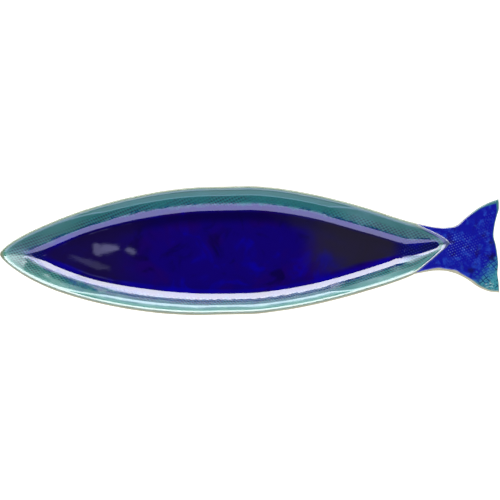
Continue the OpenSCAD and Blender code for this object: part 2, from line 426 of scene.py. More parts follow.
def wrapOnPlan(shape, relief, edgeShift=None):
    # carries the round shape over to the plan of the fish
    insetLayer, stepLayer = ringPlaces(shape)
    inset = np.array([v[insetLayer] for v in shape.verts])
    step = np.array([v[stepLayer] for v in shape.verts])
    z = np.array([v.co.z for v in shape.verts])
    inside = isInside(inset, z)
    if edgeShift is not None:
        inset = inset + edgeShift(inset, step)
    truly = np.where(inside, spreadInset(inset, step), inset)
    place = onPlan(truly, step)
    if inside.any():
        first = np.flatnonzero(inside & (step == 0))
        first = first[np.argsort(inset[first])]
        section, settled = settle(place, truly, inset, (inset[first], z[first]))
        inset, z = np.where(inside, section, inset), np.where(inside, settled, z)
    z = z + relief(place, inset, z)
    ringLayer = shape.verts.layers.float.new("ring")
    insetLayer = shape.verts.layers.float["inset"]
    moveTo(shape.verts, place, z)
    for v, depth in zip(shape.verts, inset):
        v[ringLayer] = v[insetLayer]
        v[insetLayer] = depth
    bmesh.ops.remove_doubles(shape, verts=shape.verts, dist=0.0004)
    turnOutwards(shape)


def turnOutwards(shape):
    bmesh.ops.recalc_face_normals(shape, faces=shape.faces)
    if shape.calc_volume(signed=True) < 0:
        bmesh.ops.reverse_faces(shape, faces=shape.faces)


def meshOf(name, shape):
    mesh = bpy.data.meshes.new(name)
    shape.to_mesh(mesh)
    shape.free()
    return mesh


def linked(name, data):
    made = bpy.data.objects.new(name, data)
    bpy.context.scene.collection.objects.link(made)
    return made


def keepNormals(shape):
    # turns the face up, and writes its normals down for when it has been parted
    shape.normal_update()
    if sum(f.normal.z for f in shape.faces) < 0:
        bmesh.ops.reverse_faces(shape, faces=shape.faces)
        shape.normal_update()
    layer = shape.verts.layers.float_vector.new("skinNormal")
    for v in shape.verts:
        v[layer] = v.normal


def writeGuides(shape, guides):
    # attributes that the glazes' colours follow, or that the next step needs
    for name, values in guides.items():
        layer = shape.verts.layers.float.new(name)
        for v, value in zip(shape.verts, values):
            v[layer] = value


def finishPiece(name, shape, nodes, material, body="root"):
    # millimetres become metres, and the piece is tied to the frame
    bmesh.ops.scale(shape, verts=shape.verts, vec=(mm, mm, mm))
    normals = shape.verts.layers.float_vector.get("skinNormal")
    kept = [Vector(v[normals]) for v in shape.verts] if normals else None
    for f in shape.faces:
        f.smooth = True
    mesh = meshOf(name, shape)
    piece = linked(name, mesh)
    mesh.materials.append(material)
    if kept:
        own = [v.normal.copy() for v in mesh.vertices]
        mesh.normals_split_custom_set_from_vertices(
            [k if k.length > 0.5 else o for k, o in zip(kept, own)])
    else:
        mesh.set_sharp_from_angle(angle=math.radians(50))
    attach(piece, body)
    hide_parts(*nodes)
    print(name, "made with", len(mesh.polygons), "faces")


# Materials

def rgb(r, g, b):
    # colour as read off a screen, 0 to 255, made linear
    def linear(c):
        c = c / 255
        return c / 12.92 if c <= 0.04045 else ((c + 0.055) / 1.055) ** 2.4
    return (linear(r), linear(g), linear(b), 1)


def emptyTree(owner):
    owner.use_nodes = True
    owner.node_tree.nodes.clear()
    return owner.node_tree


def put(tree, kind, inputs=None, **settings):
    made = tree.nodes.new("ShaderNode" + kind)
    for key, value in settings.items():
        setattr(made, key, value)
    for key, value in (inputs or {}).items():
        if isinstance(value, bpy.types.NodeSocket):
            tree.links.new(value, made.inputs[key])
        else:
            made.inputs[key].default_value = value
    return made


# The helpers below find the node tree through the values that they are given

def joined(operation, first, *others):
    # one operation over all values in turn
    for other in others:
        tree = (first if isinstance(first, bpy.types.NodeSocket) else other).id_data
        first = put(tree, "Math", {0: first, 1: other}, operation=operation).outputs[0]
    return first


times, plus, minus, larger, smaller = (
    partial(joined, name) for name in ("MULTIPLY", "ADD", "SUBTRACT", "MAXIMUM", "MINIMUM"))


def between(value, low, high, start=0, end=1):
    made = put(value.id_data, "MapRange", {"Value": value, "From Min": low, "From Max": high,
                                           "To Min": start, "To Max": end},
               interpolation_type="SMOOTHSTEP")
    return made.outputs["Result"]


def band(value, low, lowEnd, highStart, high):
    # 1 between the two fades, 0 outside them
    return times(between(value, low, lowEnd), between(value, highStart, high, 1, 0))


def swing(value, reach):
    # turns a noise into a shift both ways
    return between(value, 0.2, 0.8, -reach, reach)


def mixed(share, first, second):
    made = put(share.id_data, "Mix", {0: share, 6: first, 7: second}, data_type="RGBA")
    return made.outputs[2]


def layered(colour, *layers):
    # each layer covers its share of what lies under it
    for share, layer in layers:
        colour = mixed(share, colour, layer)
    return colour


def cloudy(where, scale, detail=2, roughness=0.5, distortion=0):
    made = put(where.id_data, "TexNoise", {"Vector": where, "Scale": scale, "Detail": detail,
                                           "Roughness": roughness, "Distortion": distortion})
    return made.outputs["Fac"]


def ramp(value, stops):
    # colours set at places, from the first stop to the last
    low, high = stops[0][0], stops[-1][0]
    share = put(value.id_data, "MapRange", {"Value": value, "From Min": low, "From Max": high})
    made = put(value.id_data, "ValToRGB", {"Fac": share.outputs["Result"]})
    bar = made.color_ramp
    for k, (place, *colour) in enumerate(stops):
        at = (place - low) / (high - low)
        stop = bar.elements[k] if k < 2 else bar.elements.new(at)
        stop.position = at
        stop.color = rgb(*colour)
    return made.outputs["Color"]


def acrossThreads(where, angle, pitch):
    # grows by a full turn with every pitch, across threads that run at this angle
    a, turn = math.radians(angle), 2 * math.pi / (pitch * mm)
    return put(where.id_data, "VectorMath", {0: where, 1: (math.sin(a) * turn, -math.cos(a) * turn, 0)},
               operation="DOT_PRODUCT").outputs["Value"]


def sine(value):
    return put(value.id_data, "Math", {0: value}, operation="SINE").outputs[0]


def weaveNodes(where):
    # the same cloth pattern as in the meshes, -1 to 1
    pitch = unevenness["weavePitch"]
    waves = (sine(acrossThreads(where, angle, pitch)) for angle in unevenness["weaveAngles"])
    return times(plus(*waves), 0.5)


def makeMaterial(name, recipe, look, *guides):
    # the recipe gets the place on the object and the attributes that were written on the mesh;
    # it gives a colour, a roughness and a height for the relief too fine for the mesh
    material = bpy.data.materials.new(name)
    tree = emptyTree(material)
    where = put(tree, "TexCoord").outputs["Object"]
    found = [put(tree, "Attribute", attribute_name=guide).outputs["Fac"] for guide in guides]
    colour, rough, height = recipe(look, where, *found)
    bump = put(tree, "Bump", {"Height": height, "Strength": look["bump"], "Distance": 1.0})
    shader = put(tree, "BsdfPrincipled", {"Base Color": colour, "Roughness": rough,
                                          "IOR": look["refraction"],
                                          "Normal": bump.outputs["Normal"]})
    put(tree, "OutputMaterial", {"Surface": shader.outputs[0]})
    return material


glazeLook = {
    # painted light and shade: the front wall's bands are lighter where the key light falls on it, the
    # back wall's darker
    "backBands": [           # colour at each inset from the outline, in millimetres
        (0.0, 126, 130, 92), (1.0, 118, 138, 96), (2.3, 96, 136, 112), (3.3, 46, 106, 100),
        (4.6, 36, 116, 116), (7.0, 26, 114, 114), (9.0, 6, 126, 122), (12.2, 6, 128, 130),
        (13.8, 10, 96, 130), (15.6, 15, 12, 120), (21.0, 14, 0, 108), (30.0, 16, 0, 112),
    ],
    "frontBands": [
        (0.0, 128, 132, 106), (1.0, 132, 146, 122), (2.3, 120, 160, 144), (3.3, 92, 164, 150),
        (5.0, 82, 160, 156), (6.6, 44, 124, 138), (8.2, 40, 128, 144), (9.8, 10, 124, 140),
        (11.2, 0, 96, 142), (13.8, 0, 72, 150), (15.6, 15, 12, 120), (21.0, 14, 0, 108),
        (30.0, 16, 0, 112),
    ],
    # plain turquoise at head and tail, painted in shade on the back wall and lit on the front wall
    "evenBack": rgb(26, 112, 104),
    "evenFront": rgb(66, 148, 136),
    "tailFront": rgb(4, 136, 130),
    "ridge": rgb(48, 66, 120),
    "speck": rgb(8, 72, 80),
    "thread": rgb(2, 26, 62),
    "knot": rgb(110, 160, 180),
    "purple": rgb(26, 0, 100),
    "bright": rgb(8, 0, 160),
    "dark": rgb(8, 0, 66),
    # painted grey reflection of a dim object, in the pool towards the tail
    "shade": rgb(38, 34, 50),
    "night": rgb(24, 13, 66),
    "roughness": 0.006,
    "noseTip": (-0.197, -0.19),     # along the fish, in metres from its middle
    "headEven": (-0.17, -0.11),
    "nightHead": (-0.1, -0.05),
    "tailEven": (0.06, 0.12),
    "greyTail": (0.066, 0.115),
    "fork": (0.126, 0.142),
    "ridgeStart": (0.142, 0.156),
    "creaseStart": 0.15,
    "creaseSlope": 0.33,
    "poolEdge": (14, 20),    # insets in millimetres
    "thinEdge": (13, 14),
    "thinFront": 0.34,       # added where the glaze is thin
    "thinBack": 0.38,
    "thinTail": 0.26,
    "thinNose": 0.5,
    "threadHeight": 0.00003,
    "grainHeight": 0.000003,
    "bump": 0.7,
    "refraction": 1.6,
}


def dishGlaze(look, where, inset, along, cloth):
    # one glaze over wall and pool: turquoise where it ran thin, cobalt where it gathered
    tree = where.id_data
    x, y = put(tree, "SeparateXYZ", {0: where}).outputs[:2]
    flow = put(tree, "CombineXYZ", {0: times(along, 0.035), 1: times(inset, 0.4)}).outputs[0]
    streaks = cloudy(flow, 1.6, 4, 0.55)
    lumps = cloudy(where, 75, 4, 0.6)
    crumbs = cloudy(where, 330, 3, 0.6)
    grain = cloudy(where, 900, 3, 0.6)
    slow = cloudy(where, 28, 3, 0.55, 0.4)
    moved = put(tree, "Mapping", {0: where, 1: (0.31, 0.17, 0)}).outputs[0]
    other = cloudy(moved, 38, 3, 0.6, 0.6)
    weave = weaveNodes(where)
    front = between(y, -0.005, 0.005, 1, 0)
    nose = between(x, *look["noseTip"], 1, 0)

    # the inset that the colours follow wanders with the glaze
    loose = between(inset, 3, 8)
    depth = plus(inset, swing(streaks, 0.7), times(loose, swing(lumps, 1.6)),
                 times(loose, swing(crumbs, 0.9)))

    # the front wall stays turquoise down to the crease behind the fork
    bend = times(larger(minus(x, look["creaseStart"]), 0), look["creaseSlope"])
    forkFront = times(between(x, *look["fork"]), between(minus(y, bend), -0.0042, -0.0026, 1, 0),
                      between(inset, 3.6, 6))
    shallow = larger(minus(depth, times(forkFront, 9)), smaller(depth, 6))

    # plain turquoise towards the head and the tail, painted lighter on the front wall where the key
    # light falls and darker, as shade, on the back wall
    tint = mixed(between(x, -0.02, 0.02), look["evenFront"], look["tailFront"])
    tint = mixed(front, look["evenBack"], tint)
    ends = plus(x, swing(lumps, 0.04))
    ends = plus(between(ends, *look["headEven"], 0.9, 0), between(ends, *look["tailEven"], 0, 0.9))
    ends = times(ends, between(inset, 2.5, 4), larger(between(depth, 12, 14.6, 1, 0), nose))

    # the pool is darker along its back edge and at the head, and towards the tail it carries a painted
    # grey reflection of a dim object
    pool = between(inset, *look["poolEdge"])
    headward = plus(x, times(slow, 0.05))
    clear = plus(inset, between(y, -0.012, 0.004, -6, 0), times(other, 3))
    shade = times(between(plus(headward, times(y, 0.7)), *look["greyTail"]), between(clear, 18, 23),
                  between(x, 0.12, 0.134, 1, 0), 0.92)

    # the front wall's bands are painted lighter, as lit by the key light, and the back wall's darker,
    # as painted shade
    colour = layered(
        mixed(front, ramp(shallow, look["backBands"]), ramp(shallow, look["frontBands"])),
        (ends, tint),
        # bluer on the fork's ridge
        (times(between(x, *look["ridgeStart"]), between(inset, 2.6, 4, 1, 0)), look["ridge"]),
        # dark speckles low on the wall
        (times(band(depth, 7, 10, 13.5, 15.5), between(grain, 0.48, 0.6, 0, 0.65),
               between(lumps, 0.35, 0.6, 0.25, 1)), look["speck"]),
        # threads of the cloth show darker in the hollows and paler on the knots
        (times(cloth, between(weave, -0.8, 0.25, 0.92, 0)), look["thread"]),
        (times(cloth, between(weave, 0.4, 0.95, 0, 0.22)), look["knot"]),
        # clouds of purple, brighter and nearly black cobalt in the pool
        (times(pool, between(slow, 0.5, 0.68)), look["purple"]),
        (times(pool, between(other, 0.52, 0.72, 0, 0.7)), look["bright"]),
        (times(pool, between(other, 0.3, 0.46, 0.8, 0)), look["dark"]),
        # edges of the pool, head and tail; the grey towards the tail is a painted reflection of a dim
        # object
        (times(band(inset, 19, 22, 24, 33), between(y, -0.002, 0.012, 0, 0.85)), look["dark"]),
        (times(between(headward, *look["nightHead"], 0.85, 0), between(inset, 19, 24)), look["night"]),
        (shade, look["shade"]),
        (times(band(inset, 18, 20, 21, 24), between(y, -0.012, -0.002, 0.7, 0),
               between(other, 0.35, 0.6, 0.3, 1)), look["bright"]))

    # smooth where the glaze is thick, duller where it is thin and on the pressed cloth
    ragged = times(front, between(x, -0.11, -0.06, 1.3, 0.4), between(lumps, 0.25, 0.75, -1, 1))
    late = times(front, between(x, -0.12, -0.07, 2.3, 1))
    edged = larger(between(minus(plus(depth, ragged), late), *look["thinEdge"], 1, 0), nose)
    thin = times(between(inset, 3.1, 4.2), edged)
    dull = times(between(inset, 8, 10, look["thinFront"], look["thinFront"] / 2),
                 between(x, -0.165, -0.145, 0.5, 1))
    dull = plus(times(front, dull), between(front, 0, 1, look["thinBack"], 0))
    lowHead = times(front, between(x, -0.11, -0.07, look["thinFront"], 0), between(inset, 12, 14))
    dull = larger(dull, between(x, 0.1, 0.13, 0, look["thinTail"]), lowHead,
                  times(nose, look["thinNose"]))
    fork = between(inset, 11, 13.5, look["thinTail"], look["thinNose"])
    backRim = times(between(inset, 2.2, 3.4, 0.3, 0), between(front, 0, 1, 1, 0))
    rough = plus(larger(times(thin, dull), times(forkFront, fork), backRim), look["roughness"])

    # the cloth is felt less under the glaze at head and tail
    pressed = times(between(x, -0.15, -0.12, 0.1, 1), between(x, 0.096, 0.124, 1, 0.1))
    height = plus(times(weave, cloth, look["threadHeight"], pressed), times(grain, look["grainHeight"]))
    return colour, rough, height


tailLook = {
    "cobalt": rgb(2, 8, 160),
    "bright": rgb(26, 66, 190),
    "dark": rgb(14, 0, 112),
    "dot": rgb(104, 138, 222),
    "turquoise": rgb(62, 152, 166),
    "net": rgb(4, 34, 92),
    # a painted glint of light near the lower tip
    "glint": rgb(196, 228, 226),
    "thin": rgb(70, 132, 130),
    "blot": rgb(12, 4, 66),
    "roughness": 0.1,
    "threadHeight": 0.00004,
    "grainHeight": 0.00003,
    "bump": 0.6,
    "refraction": 1.5,
    "hatchPitch": 3.7,
    "hatchAngles": (-52, 38),
    "glintPlace": (205.5, -31.5),
    "blotPlaces": ((208, -7), (208, 6), (190, -18)),
    "faceZ": 22.8,
}


def hatchLines(where):
    # thin lines both ways, where a coarser cloth was pressed in
    lines = []
    for angle in tailLook["hatchAngles"]:
        bent = plus(acrossThreads(where, angle, tailLook["hatchPitch"]), times(cloudy(where, 130), 5))
        lines.append(between(sine(bent), 0.55, 0.95))
    return larger(*lines)


def awayFrom(where, x, y):
    # distance to a place on the fin, given in millimetres
    spot = (x * mm, y * mm, tailLook["faceZ"] * mm)
    return put(where.id_data, "VectorMath", {0: where, 1: spot}, operation="DISTANCE").outputs["Value"]


def finGlaze(look, where, edge, cloth):
    # cobalt, thin enough to show the cloth, and turquoise on the two tips
    x, y = put(where.id_data, "SeparateXYZ", {0: where}).outputs[:2]
    weave = weaveNodes(where)
    clouds = cloudy(where, 90, 4, 0.6, 0.5)
    wisps = cloudy(where, 150, 3, 0.5, 0.8)
    fine = cloudy(where, 420, 3, 0.6)

    # on the turquoise the hollows of the cloth are still blue, and a painted glint of light sits near
    # the lower tip
    frontTip = plus(x, times(y, -0.9), times(clouds, 0.036), times(fine, 0.02))
    backTip = plus(times(x, 0.6), y, times(clouds, 0.012))
    tips = larger(between(frontTip, 0.238, 0.262), between(backTip, 0.171, 0.178, 0, 0.85))
    turquoise = layered(
        look["turquoise"],
        (times(between(weave, -0.75, 0.1, 0.6, 0), between(wisps, 0.4, 0.6)), look["net"]),
        (times(hatchLines(where), between(clouds, 0.44, 0.54, 0, 0.85)), look["net"]),
        (times(between(awayFrom(where, *look["glintPlace"]), 0.0025, 0.006, 0.6, 0),
               between(fine, 0.48, 0.64)), look["glint"]))

    # dark blots by the end, and thin glaze along the edges
    blots = []
    for place in look["blotPlaces"]:
        away = plus(awayFrom(where, *place), times(fine, 0.006), times(clouds, 0.006))
        blots.append((between(away, 0.0065, 0.0105, 0.75, 0), look["blot"]))
    rim = minus(plus(edge, between(x, 0.186, 0.196, 1.2, 0)), between(backTip, 0.158, 0.174, 0, 1.6))

    colour = layered(
        look["dark"],
        (between(clouds, 0.3, 0.46), look["cobalt"]),
        (times(between(wisps, 0.48, 0.7, 0, 0.85), between(fine, 0.3, 0.6, 0.6, 1)), look["bright"]),
        (times(cloth, between(weave, 0.3, 0.8), between(fine, 0.38, 0.6, 0.3, 1)), look["dot"]),
        (tips, turquoise),
        *blots,
        (between(rim, 0.3, 1.7, 0.9, 0), look["thin"]))
    rough = plus(look["roughness"], times(fine, 0.1))
    height = plus(times(weave, cloth, look["threadHeight"]), times(fine, look["grainHeight"]))
    return colour, rough, height


clayLook = {
    "pale": rgb(188, 187, 160),
    "warm": rgb(164, 160, 132),
    "speck": rgb(112, 100, 78),
    "grainHeight": 0.00006,
    "bump": 0.8,
    "refraction": 1.5,
}


def bareClay(look, where):
    sand = cloudy(where, 1500, 2, 0.7)
    colour = layered(
        look["pale"],
        (between(cloudy(where, 60, 4, 0.6), 0.35, 0.68), look["warm"]),
        (between(cloudy(where, 620, 1, 0.4), 0.68, 0.76, 0, 0.7), look["speck"]))
    return colour, between(sand, 0.3, 0.7, 0.72, 0.9), times(sand, look["grainHeight"])


paleLook = {
    "cream": rgb(226, 222, 204),
    "grey": rgb(196, 198, 184),
    "freckle": rgb(150, 128, 96),
    "roughness": 0.34,
    "grainHeight": 0.00005,
    "bump": 0.6,
    "refraction": 1.5,
}


def paleGlaze(look, where):
    fine = cloudy(where, 700, 3, 0.6)
    colour = layered(
        look["cream"],
        (between(cloudy(where, 45, 4, 0.6, 0.5), 0.35, 0.65), look["grey"]),
        (between(cloudy(where, 480, 1, 0.5), 0.7, 0.76, 0, 0.6), look["freckle"]))
    return colour, plus(look["roughness"], times(fine, 0.15)), times(fine, look["grainHeight"])


clay = makeMaterial("bareClay", bareClay, clayLook)
print("materials mixed")


# Clay body of the dish: inside, rim, outer edge, wall, base

bodyShape = {
    "crestRound": 1.25,
    "edgeFoot": 18.4,        # where the upright outer edge ends
    "lipRound": 0.7,
    "lip": (3.9, 16.6),      # where the underside of the rim meets the outer wall
    "outerSlope": 61.5,
    "baseRound": 18.5,
    "lumps": 0.03,           # lumps of the outer edge
    "wander": 0.14,          # how far the outline wanders inwards
    "tailSink": 0.7,         # deeper under the glaze at the tail
    "wallSink": 0.15,
}

insideShape = {
    "edge": 0.3,             # outer limit of the glaze, from the outline
    "edgeRipple": 0.1,
    "edgeWave": 0.14,
    "forkEdge": 0.28,        # the glaze reaches this much further out at the fork
    "lipSteps": ((0, 1.3, 0.15), (0.04, 0.95, 0.15), (0.22, 0.55, 0.15), (0.6, 0.15, 0.2)),
    "crestInset": 1.35,
    "crestRound": 2.5,
    "crestSlope": 36,
    "dipRound": 1.5,
    "shelfSlope": 7,
    "shelfRun": 2.3,
    "shoulderRound": 4.5,
    "steepSlope": 63,
    "heelRound": 5,
    "heelSlope": 40,
    "coveRound": 13.5,
    "topZ": 23.82,
}


def drawInside(section, pen, sink, spacing):
    # from the crest of the rim down to the floor, sink under the glaze's face
    g = insideShape
    shelf, steep = g["shelfSlope"], g["steepSlope"]
    floorZ = heights["pool"] - heights["seat"] - sink
    pen = drawArc(section, pen, g["crestRound"] - sink, (0, g["crestSlope"]), spacing)
    pen = drawArc(section, pen, -g["dipRound"] - sink, (g["crestSlope"], shelf), spacing)
    run = g["shelfRun"]
    pen = drawTo(section, pen, (pen.co.x + spinRadius + run,
                                pen.co.z - run * math.tan(math.radians(shelf)), spacing))
    pen = drawArc(section, pen, g["shoulderRound"] - sink, (shelf, steep), spacing)
    heel, cove = g["heelRound"] + sink, g["coveRound"] + sink
    a, b = math.radians(steep), math.radians(g["heelSlope"])
    fall = heel * (math.cos(b) - math.cos(a)) + cove * (1 - math.cos(b))
    left = pen.co.z - floorZ - fall
    pen = drawTo(section, pen, (pen.co.x + spinRadius + left / math.tan(a), pen.co.z - left, spacing))
    pen = drawArc(section, pen, -heel, (steep, g["heelSlope"]), spacing)
    return drawArc(section, pen, -cove, (g["heelSlope"], 0), spacing)


def makeDishBody():
    g, h = bodyShape, heights
    edge = g["crestRound"]
    sink = h["glaze"] + h["seat"]
    section, pen = startSection(insideShape["crestInset"], insideShape["topZ"] - sink)
    first = pen
    pen = drawInside(section, pen, sink, 2.4)
    drawTo(section, pen, (middleInset, pen.co.z, 7))
    pen = drawTo(section, first, (edge, first.co.z, 0.3))
    pen = drawArc(section, pen, edge, (0, -90), 0.18)
    pen = drawTo(section, pen, (0, g["edgeFoot"], 0.6))
    pen = drawArc(section, pen, g["lipRound"], (-90, -160), 0.2)
    slope = math.radians(g["outerSlope"])
    arcTop = h["foot"] + g["baseRound"] * (1 - math.cos(slope))
    arcInset = h["floorInset"] - g["baseRound"] * math.sin(slope)
    pen = drawTo(section, pen, (*g["lip"], 0.6), (arcInset, arcTop, 1.4))
    pen = drawArc(section, pen, -g["baseRound"], (g["outerSlope"], 0), 1.5)
    drawTo(section, pen, (middleInset, h["foot"], 4))
    spinSection(section)

    def relief(points, inset, z):
        inside = isInside(inset, z)
        top = inside * (1 - fade(3, 6, inset))
        deeper = g["tailSink"] * inside * fade(1.5, 4, inset) * fade(104, 130, points[:, 0])
        lumps = g["lumps"] * noiseAt(points, 5, 2.2) * fade(14, 17, z) * (1 - fade(3, 5, inset))
        under = g["wallSink"] * inside * fade(8, 12, inset)
        fall = inside * shoulderFall(points, inset)
        return rimLift(points) * top + lumps + fall - under - deeper

    def handmade(inset, step):
        # the outline wanders inwards a little
        return g["wander"] * (1 + noiseRound(step, 9, 4.4)) * (1 - fade(0.4, 2.5, inset))

    wrapOnPlan(section, relief, handmade)
    finishPiece("dishBody", section, ["dish_body"], clay)


makeDishBody()


# Glaze of the inside, one skin that is then parted where the pool begins

meetInset = 15.3


def edgeWander(inset, step):
    # the glaze ends in a slightly wavy line
    g = insideShape
    wave = g["edgeRipple"] * (1 + noiseRound(step, 2.2, 6.1)) + g["edgeWave"] * noiseRound(step, 8, 0.7)
    atFork = fade(136, 148, contours[0, step % ringSteps, 0])
    return (wave * (1 - atFork) - g["forkEdge"] * atFork) * (1 - fade(0.3, 1.5, inset))


def addGuides(shape):
    # distance along the rim, and how clearly the cloth shows
    insetLayer = shape.verts.layers.float["inset"]
    stepLayer = shape.verts.layers.int["step"]
    run = np.append(0, np.cumsum(np.hypot(*np.diff(contours[0], axis=0).T)))
    inset = np.array([v[insetLayer] for v in shape.verts])
    points = np.array([v.co[:2] for v in shape.verts])
    writeGuides(shape, {"along": run[[v[stepLayer] for v in shape.verts]],
                        "cloth": weaveShows(points, inset)})


def makeInsideSkin():
    # the lip rises in steps, each an inset past the edge, a depth under the crest and a spacing
    g = insideShape
    lip = [(g["edge"] + run, g["topZ"] - depth, spacing) for run, depth, spacing in g["lipSteps"]]
    section, pen = startSection(*lip[0][:2])
    pen = drawTo(section, pen, *lip[1:], (g["crestInset"], g["topZ"], 0.3))
    pen = drawInside(section, pen, 0, 0.45)
    drawTo(section, pen, (middleInset, pen.co.z, 1.25))
    spinSection(section)
    wrapOnPlan(section, lambda points, inset, z: reliefAt(points, inset), edgeWander)
    keepNormals(section)
    addGuides(section)
    return section


def keepFaces(skin, wanted):
    part = skin.copy()
    ringLayer = part.verts.layers.float["ring"]
    gone = [f for f in part.faces
            if not wanted(sum(v[ringLayer] for v in f.verts) / len(f.verts))]
    bmesh.ops.delete(part, geom=gone, context="FACES")
    return part


def openLoop(part, nearInset):
    # the open edges near this inset
    layer = part.verts.layers.float["ring"]
    return [e for e in openEdges(part) if abs(e.verts[0][layer] - nearInset) < 2.5]


glazeUnder = (               # insets and heights of the face that lies on the clay
    (2.8, 6, 8, 9.5, 11, 13, meetInset, 18, 22, middleInset),
    (22.7, 22, 20.8, 18.8, 15.9, 12.7, 11.4, 10.2, 9.5, 9.5),
)


def growLoops(part, edges, insets):
    # rings of faces, from open edges through these insets of the face on the clay
    ringLayer = part.verts.layers.float["ring"]
    stepLayer = part.verts.layers.int["step"]
    normalLayer = part.verts.layers.float_vector["skinNormal"]
    for inset in insets:
        made = bmesh.ops.extrude_edge_only(part, edges=edges)["geom"]
        verts, edges = picked(made, bmesh.types.BMVert), picked(made, bmesh.types.BMEdge)
        step = np.array([v[stepLayer] for v in verts])
        rings = np.full(len(verts), float(inset))
        truly = spreadInset(rings, step)
        place = onPlan(truly, step)
        moveTo(verts, place, settle(place, truly, rings, glazeUnder)[1])
        for v in verts:
            v[ringLayer] = inset
            v[normalLayer] = (0, 0, 0)
    return edges


def inDishGlaze(name):
    return makeMaterial(name, dishGlaze, glazeLook, "inset", "along", "cloth")


def makeDishGlazes():
    skin = makeInsideSkin()
    wall = keepFaces(skin, lambda inset: inset < meetInset)
    well = keepFaces(skin, lambda inset: inset >= meetInset)
    skin.free()

    insets = glazeUnder[0]
    meet = insets.index(meetInset)
    rimEdges = openLoop(wall, insideShape["edge"])
    edges = growLoops(wall, openLoop(wall, meetInset), insets[meet::-1])
    bmesh.ops.bridge_loops(wall, edges=edges + rimEdges)
    turnOutwards(wall)
    finishPiece("wallGlaze", wall, ["wall_glaze"], inDishGlaze("wallGlaze"))

    growLoops(well, openLoop(well, meetInset), insets[meet:])
    bmesh.ops.remove_doubles(well, verts=well.verts, dist=0.0004)
    turnOutwards(well)
    finishPiece("wellGlaze", well, ["well_glaze"], inDishGlaze("wellGlaze"))


makeDishGlazes()


# Fin, blended from the dish's outline at its root and three sides of its own

finShape = {
    "endX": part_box("tail_fin")[1].x / mm - 0.01,
    "wrist": 37,
    "wristBackShare": 0.535,
    "span": 81,
    "spanBackShare": 0.55,
    "notch": 5,
    "rootAngles": (146.25, 213.75),
    "backShares": (0.085, 0.016, 0, 0.077, 0.384, 0.664, 0.866, 1),
    "frontShares": (0.093, 0.02, 0.036, 0.16, 0.4, 0.73, 0.943, 1),
    "notchShares": (0.05, 0, 0.46, 0.84, 1, 0.64, 0.42, 0.3, 0.46, 0.3, 0.25),
    "top": 22.3,
    "base": 17.8,
    "edgeRound": 1.2,
    "rise": 0.63,            # of the two tips above the middle
    "fillet": 0.3,           # clay smoothed up against the rim of the dish
    "filletRun": 2.6,
    "weave": 0.035,
    "waves": 0.1,
    "settled": 0.06,         # how far the clay lies under the named top
    "lines": (150, 110),     # of the grid, across and along
    "pulls": (0.6, 0.75),
}


def rootPoint(v, inset):
    # along the dish's outline behind the fork, v from back to front
    low, high = (math.radians(a) for a in finShape["rootAngles"])
    a = low + (high - low) * v
    x = (noseX + pointX) / 2 - (pointX - noseX) / 2 * np.cos(a)
    x = np.minimum(x, contourEnds(inset)[1])
    y = centreY(x) + np.where(v < 0.5, 1, -1) * insetHalf(x, inset)
    return np.stack([x, y], axis=-1)


def finPlan(u, v, inset=0.3):
    g = finShape
    first = rootPoint(np.array([0.0, 1.0]), 0)
    depths = np.array(g["notchShares"]) * g["notch"]
    backTip = np.array([g["endX"] - depths[0], g["span"] * g["spanBackShare"]])
    frontTip = np.array([g["endX"] - depths[-1], -g["span"] * (1 - g["spanBackShare"])])

    def side(start, shares, wristY, tip):
        way = np.append(0, (np.arange(len(shares)) + 1) / len(shares))
        y = np.append(start[1], wristY + np.array(shares) * (tip[1] - wristY))
        return np.stack([start[0] + (tip[0] - start[0]) * way, y], axis=1)

    back = side(first[0], g["backShares"], g["wrist"] * g["wristBackShare"], backTip)
    front = side(first[1], g["frontShares"], -g["wrist"] * (1 - g["wristBackShare"]), frontTip)
    end = np.stack([g["endX"] - np.maximum(smoothCurve(depths, v), 0),
                    backTip[1] + v * (frontTip[1] - backTip[1])], axis=-1)
    u2, v2 = u[..., None], v[..., None]
    return ((1 - u2) * rootPoint(v, inset) + u2 * end
            + (1 - v2) * (smoothCurve(back, u) - (1 - u2) * first[0] - u2 * backTip)
            + v2 * (smoothCurve(front, u) - (1 - u2) * first[1] - u2 * frontTip))


def eased(t, pull):
    # gathers the lines of a grid towards both its ends
    return t - pull * np.sin(2 * math.pi * t) / (2 * math.pi)


def finRise(u, v):
    return finShape["rise"] * (u * (2 * v - 1)) ** 2


def finLift(u, v, points, rootGap):
    near = np.clip(1 - rootGap / finShape["filletRun"], 0, 1) ** 2
    waves = finShape["waves"] * noiseAt(points, 12, 8.3) * fade(0.05, 0.2, u)
    return finRise(u, v) + finShape["fillet"] * near + waves - finShape["settled"]


def roundedDrop(gap, u):
    # how far the rounded edge lies below the flat, at a gap from the outline; less at the root
    radius = finShape["edgeRound"]
    inside = np.clip(radius - gap, 0, radius)
    return (radius - np.sqrt(radius ** 2 - inside ** 2)) * (0.25 + 0.75 * fade(0, 0.12, u))


def gridShape(lines, pulls):
    # a flat grid, and where each vertex lies: u from root to end, v from back to front
    shape = bmesh.new()
    bmesh.ops.create_grid(shape, x_segments=lines[1], y_segments=lines[0], size=0.5)
    u = np.array([v.co.x + 0.5 for v in shape.verts])
    v = np.array([v.co.y + 0.5 for v in shape.verts])
    return shape, eased(u, pulls[0]), eased(1 - v, pulls[1])


def gapsToEdges(u, v, points):
    # distances to the nearest free edge and to the root
    ones = np.ones_like(u)
    back, front, end, root = (
        np.linalg.norm(points - finPlan(*place), axis=1)
        for place in ((u, 0 * ones), (u, ones), (ones, v), (0 * ones, v)))
    return np.minimum(np.minimum(back, front), end), root


